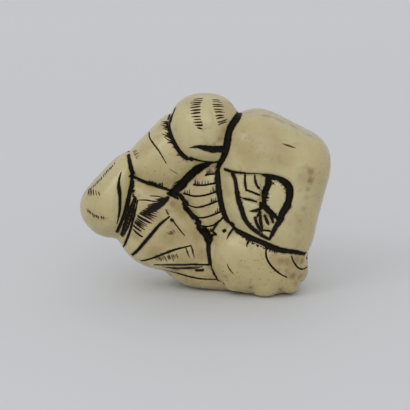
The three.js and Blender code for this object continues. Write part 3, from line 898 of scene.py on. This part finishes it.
def oldBone(s):
    material = bpy.data.materials.new("oldBone")
    material.use_nodes = True
    nodes, links = material.node_tree.nodes, material.node_tree.links
    shader = nodes["Principled BSDF"]
    shader.inputs["IOR"].default_value = 1.54
    shader.inputs["Subsurface Radius"].default_value = (1.0, 0.65, 0.35)
    shader.inputs["Subsurface Scale"].default_value = 0.8 * mm
    shader.inputs["Coat Roughness"].default_value = 0.17
    place = nodes.new("ShaderNodeTexCoord")

    def attribute(name):
        node = nodes.new("ShaderNodeAttribute")
        node.attribute_name = name
        return node.outputs["Fac"]

    def stretched(scale):
        node = nodes.new("ShaderNodeMapping")
        node.inputs["Scale"].default_value = scale
        links.new(place.outputs["Object"], node.inputs["Vector"])
        return node.outputs["Vector"]

    def cloud(scale, detail, vector=None, distortion=0.0):
        node = nodes.new("ShaderNodeTexNoise")
        node.inputs["Scale"].default_value = scale
        node.inputs["Detail"].default_value = detail
        node.inputs["Distortion"].default_value = distortion
        links.new(vector or place.outputs["Object"], node.inputs["Vector"])
        return node.outputs["Fac"]

    def ranged(value, low, high, to=(0, 1)):
        node = nodes.new("ShaderNodeMapRange")
        node.interpolation_type = "SMOOTHSTEP"
        node.inputs["From Min"].default_value = low
        node.inputs["From Max"].default_value = high
        node.inputs["To Min"].default_value, node.inputs["To Max"].default_value = to
        links.new(value, node.inputs["Value"])
        return node.outputs["Result"]

    def maths(operation, a, b):
        node = nodes.new("ShaderNodeMath")
        node.operation = operation
        for socket, value in zip(node.inputs, (a, b)):
            if isinstance(value, (int, float)):
                socket.default_value = value
            else:
                links.new(value, socket)
        return node.outputs["Value"]

    def mixed(share, under, over):
        node = nodes.new("ShaderNodeMix")
        node.data_type = "RGBA"
        sockets = {i.identifier: i for i in node.inputs}
        links.new(share, sockets["Factor_Float"])
        for name, value in (("A_Color", under), ("B_Color", over)):
            if isinstance(value, tuple):
                sockets[name].default_value = (*value, 1)
            else:
                links.new(value, sockets[name])
        return {o.identifier: o for o in node.outputs}["Result_Color"]

    broad = cloud(s["broadScale"], 4)
    mottle = cloud(s["mottleScale"], 5, distortion=0.4)
    patches = cloud(s["patchScale"], 5, distortion=0.6)
    specks = cloud(s["speckScale"], 3)
    streaks = cloud(s["streakScale"], 3, stretched(s["streakStretch"]))
    pores = nodes.new("ShaderNodeTexVoronoi")
    pores.inputs["Scale"].default_value = s["poreScale"]
    links.new(place.outputs["Object"], pores.inputs["Vector"])
    inPatches = ranged(broad, 0.5, 0.62)
    pore = maths("MULTIPLY", ranged(pores.outputs["Distance"], 0.22, 0.1), inPatches)
    handled = maths("MULTIPLY", attribute("patina"), ranged(patches, 0.3, 0.66, (0.55, 1.1)))
    mottledInkAndShade = maths("ADD", attribute("ink"), maths("MULTIPLY", maths("SUBTRACT", mottle, 0.5), 0.35))
    dry = ranged(mottledInkAndShade, 0.25, 0.7, (1, 0))  # 0 where the ink and the painted shade lie

    color = mixed(ranged(broad, 0.36, 0.68, (0, 0.7)), s["pale"], s["deep"])
    color = mixed(ranged(handled, 0, 1.1), color, s["tan"])
    color = mixed(ranged(streaks, 0.5, 0.72, (0, 0.25)), color, s["deep"])
    color = mixed(ranged(mottle, 0.56, 0.76, (0, 0.35)), color, s["stain"])
    color = mixed(ranged(specks, 0.66, 0.74, (0, 0.45)), color, s["stain"])
    color = mixed(ranged(pore, 0, 1, (0, 0.5)), color, s["fringe"])
    color = mixed(ranged(attribute("hollow"), 0.05, 0.4, (0, 0.5)), color, s["stain"])
    blotch = maths("MULTIPLY", attribute("stain"), ranged(mottle, 0.3, 0.62, (0.35, 1)))
    color = mixed(ranged(blotch, 0, 1, (0, 0.85)), color, s["stain"])
    color = mixed(ranged(attribute("halo"), 0.1, 1.0, (0, 0.6)), color, s["fringe"])
    # ink and painted shade darken the bone to fringe brown, then black
    color = mixed(ranged(mottledInkAndShade, 0.12, 0.45), color, s["fringe"])
    color = mixed(ranged(mottledInkAndShade, 0.38, 0.75), color, s["black"])
    links.new(color, shader.inputs["Base Color"])

    roughness = maths("ADD", ranged(mottle, 0.35, 0.7, s["roughness"]), ranged(dry, 0, 1, (0.3, 0)))
    links.new(roughness, shader.inputs["Roughness"])
    links.new(ranged(dry, 0, 1, (0.12, 0.5)), shader.inputs["Specular IOR Level"])
    links.new(ranged(dry, 0, 1, (0.01, s["sheen"])), shader.inputs["Coat Weight"])
    links.new(ranged(dry, 0, 1, (0, s["glow"])), shader.inputs["Subsurface Weight"])

    relief = maths("SUBTRACT", maths("MULTIPLY", specks, 0.5), maths("MULTIPLY", pore, 0.8))
    relief = maths("ADD", relief, maths("MULTIPLY", streaks, 0.35))
    bump = nodes.new("ShaderNodeBump")
    bump.inputs["Strength"].default_value = 0.35
    bump.inputs["Distance"].default_value = s["relief"]
    links.new(relief, bump.inputs["Height"])
    links.new(bump.outputs["Normal"], shader.inputs["Normal"])
    return material


# yellowing from handling, in large soft patches: front view place, reach, strength
patina = {
    "sackFace": [
        (7.5, 28.5, 4.6, 0.6), (11.5, 28.5, 4.6, 0.6), (15.0, 26.5, 3.6, 0.5), (8.0, 25.0, 3.4, 0.6),
        (12.5, 25.5, 3.4, 0.55), (6.0, 31.0, 2.6, 0.5), (17.6, 22.0, 3.0, 0.6), (16.8, 15.0, 3.6, 0.5),
        (4.0, 20.0, 2.6, 0.6), (5.0, 15.6, 2.4, 0.5),
    ],
    "recess": [(7.6, 17.4, 2.4, 0.3), (8.0, 20.8, 2.4, 0.3)],
    "cloth": [
        (-10.0, 19.0, 3.0, 0.8), (-9.0, 15.5, 4.0, 0.9), (-11.5, 12.0, 3.6, 0.9), (-6.0, 11.5, 4.6, 0.9),
        (-2.6, 11.0, 3.4, 0.8), (-4.6, 15.4, 3.0, 0.9), (-9.0, 8.4, 3.6, 0.9), (-3.6, 7.0, 3.2, 0.8),
        (-0.6, 7.6, 2.6, 0.8),
    ],
    "waist": [(-1.0, 20.4, 3.4, 0.8), (0.6, 17.0, 3.6, 0.7), (1.6, 13.8, 2.6, 0.7), (-2.4, 17.4, 2.6, 0.7)],
    "hem": [(-5.0, 4.2, 2.8, 0.8), (-1.6, 3.6, 2.8, 0.8), (1.4, 2.8, 2.2, 0.7), (-2.0, 1.6, 3.0, 0.6)],
    "cone": [(-18.0, 21.6, 3.6, 0.5), (-20.6, 18.4, 3.2, 0.45), (-19.0, 14.8, 3.0, 0.3), (-16.0, 11.8, 2.6, 0.4)],
    "roll": [(-10.6, 26.4, 3.0, 0.5), (-7.4, 30.6, 2.6, 0.6), (-6.2, 21.6, 2.8, 0.4), (-11.6, 22.4, 2.0, 0.4)],
    "roundDome": [(3.6, 30.0, 3.4, 0.6), (-2.4, 35.2, 2.8, 0.4), (3.4, 34.6, 2.4, 0.5), (0.4, 25.4, 2.4, 0.4)],
    "paw": [
        (13.0, 6.8, 3.2, 0.8), (16.0, 6.4, 3.2, 0.9), (16.6, 3.4, 2.8, 0.8), (2.6, 10.4, 2.4, 0.5),
        (8.0, 1.6, 2.0, 0.4),
    ],
}
# brown stains, in the same way
stains = {
    "sackEdge": [(11.0, 32.4, 1.6, 0.5), (13.2, 31.6, 1.8, 0.6), (15.6, 30.4, 1.8, 0.6), (18.2, 29.0, 1.6, 0.6)],
    "sackStrip": [
        (18.5, 23.4, 1.1, 0.7), (18.5, 21.8, 1.0, 1.0), (18.2, 20.4, 0.9, 0.8), (17.8, 18.8, 1.0, 0.5),
        (17.3, 16.8, 1.0, 0.6), (16.8, 14.8, 1.0, 0.5), (16.4, 12.6, 1.2, 0.4),
    ],
    "sackBand": [(3.7, 22.4, 0.8, 0.4), (4.3, 19.0, 0.8, 0.3), (6.2, 15.2, 0.9, 0.3)],
    "pawRight": [
        (12.2, 8.4, 1.0, 0.6), (13.4, 7.2, 1.3, 0.7), (14.8, 7.0, 1.3, 0.8), (16.2, 7.2, 1.3, 0.9),
        (17.3, 6.6, 1.2, 0.9),
        (14.6, 5.2, 0.9, 0.9), (15.6, 4.2, 1.2, 0.9), (17.0, 3.6, 1.2, 0.7), (16.2, 2.6, 1.0, 0.6),
    ],
    "toes": [(3.7, 3.9, 1.0, 0.9), (8.2, 2.1, 0.8, 0.9), (13.5, 1.6, 0.9, 0.8), (17.1, 2.2, 0.8, 0.8)],
    "pawPad": [(3.0, 7.4, 0.7, 0.4), (2.5, 10.7, 0.6, 0.4)],
    "dome": [
        (2.6, 29.0, 1.2, 0.7), (1.6, 28.1, 1.0, 0.6), (3.4, 30.4, 1.0, 0.4), (-1.6, 35.4, 1.2, 0.4),
        (4.6, 34.4, 1.4, 0.5),
    ],
    "domeChin": [(-1.0, 25.4, 1.2, 0.4)],
    "rollTop": [(-12.4, 25.4, 1.0, 0.8), (-7.2, 31.2, 0.9, 0.5)],
    "rollFoot": [(-6.6, 19.8, 1.3, 0.5), (-5.0, 21.6, 1.0, 0.5)],
    "clothKnot": [(-5.6, 16.8, 1.2, 0.8), (-6.4, 15.6, 1.0, 0.6), (-5.0, 15.6, 1.0, 0.5), (-7.4, 18.0, 1.0, 0.5)],
    "clothLow": [(-2.0, 7.2, 1.0, 0.3), (-0.6, 8.0, 0.8, 0.3), (-5.6, 12.0, 1.0, 0.25), (-3.6, 11.6, 0.9, 0.3)],
    "clothEdge": [(-14.2, 9.6, 1.4, 0.5), (-13.2, 8.0, 1.0, 0.3)],
    "coneTip": [(-20.6, 19.6, 1.4, 0.3), (-15.4, 11.6, 1.0, 0.4), (-17.4, 22.4, 1.2, 0.3)],
    "hem": [(-5.4, 4.6, 1.6, 0.6), (-2.2, 4.4, 1.4, 0.5), (0.6, 4.4, 1.0, 0.4)],
    "ribs": [(0.4, 22.0, 0.8, 0.5), (-1.2, 20.4, 0.8, 0.4), (-2.8, 18.4, 0.8, 0.4), (1.6, 20.4, 0.6, 0.4)],
}


def stainSkin(work, name, groups):  # each spot fades out from its place to its reach
    stained = work.verts.layers.float.new(name)
    spots = []
    for group in groups.values():
        spots += [(onSkin(x, z), reach * mm, strength) for x, z, reach, strength in group]
    tree = treeOf([spot[0] for spot in spots])
    widest = max(spot[1] for spot in spots)
    for v in work.verts:
        clean = 1.0
        for _, i, away in tree.find_range(v.co, widest):
            _, reach, strength = spots[i]
            clean *= 1 - strength * smooth(1.15 * (1 - away / reach))
        v[stained] = 1 - clean


stainSkin(body, "patina", patina)
stainSkin(body, "stain", stains)
mesh = bpy.data.meshes.new("carvedBone")
body.to_mesh(mesh)
body.free()
cad.free()
mesh.materials.append(oldBone(bone))
carvedBone = bpy.data.objects.new("carvedBone", mesh)
scene.collection.objects.link(carvedBone)
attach(carvedBone, "root")
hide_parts("carving")
print("bone finished")
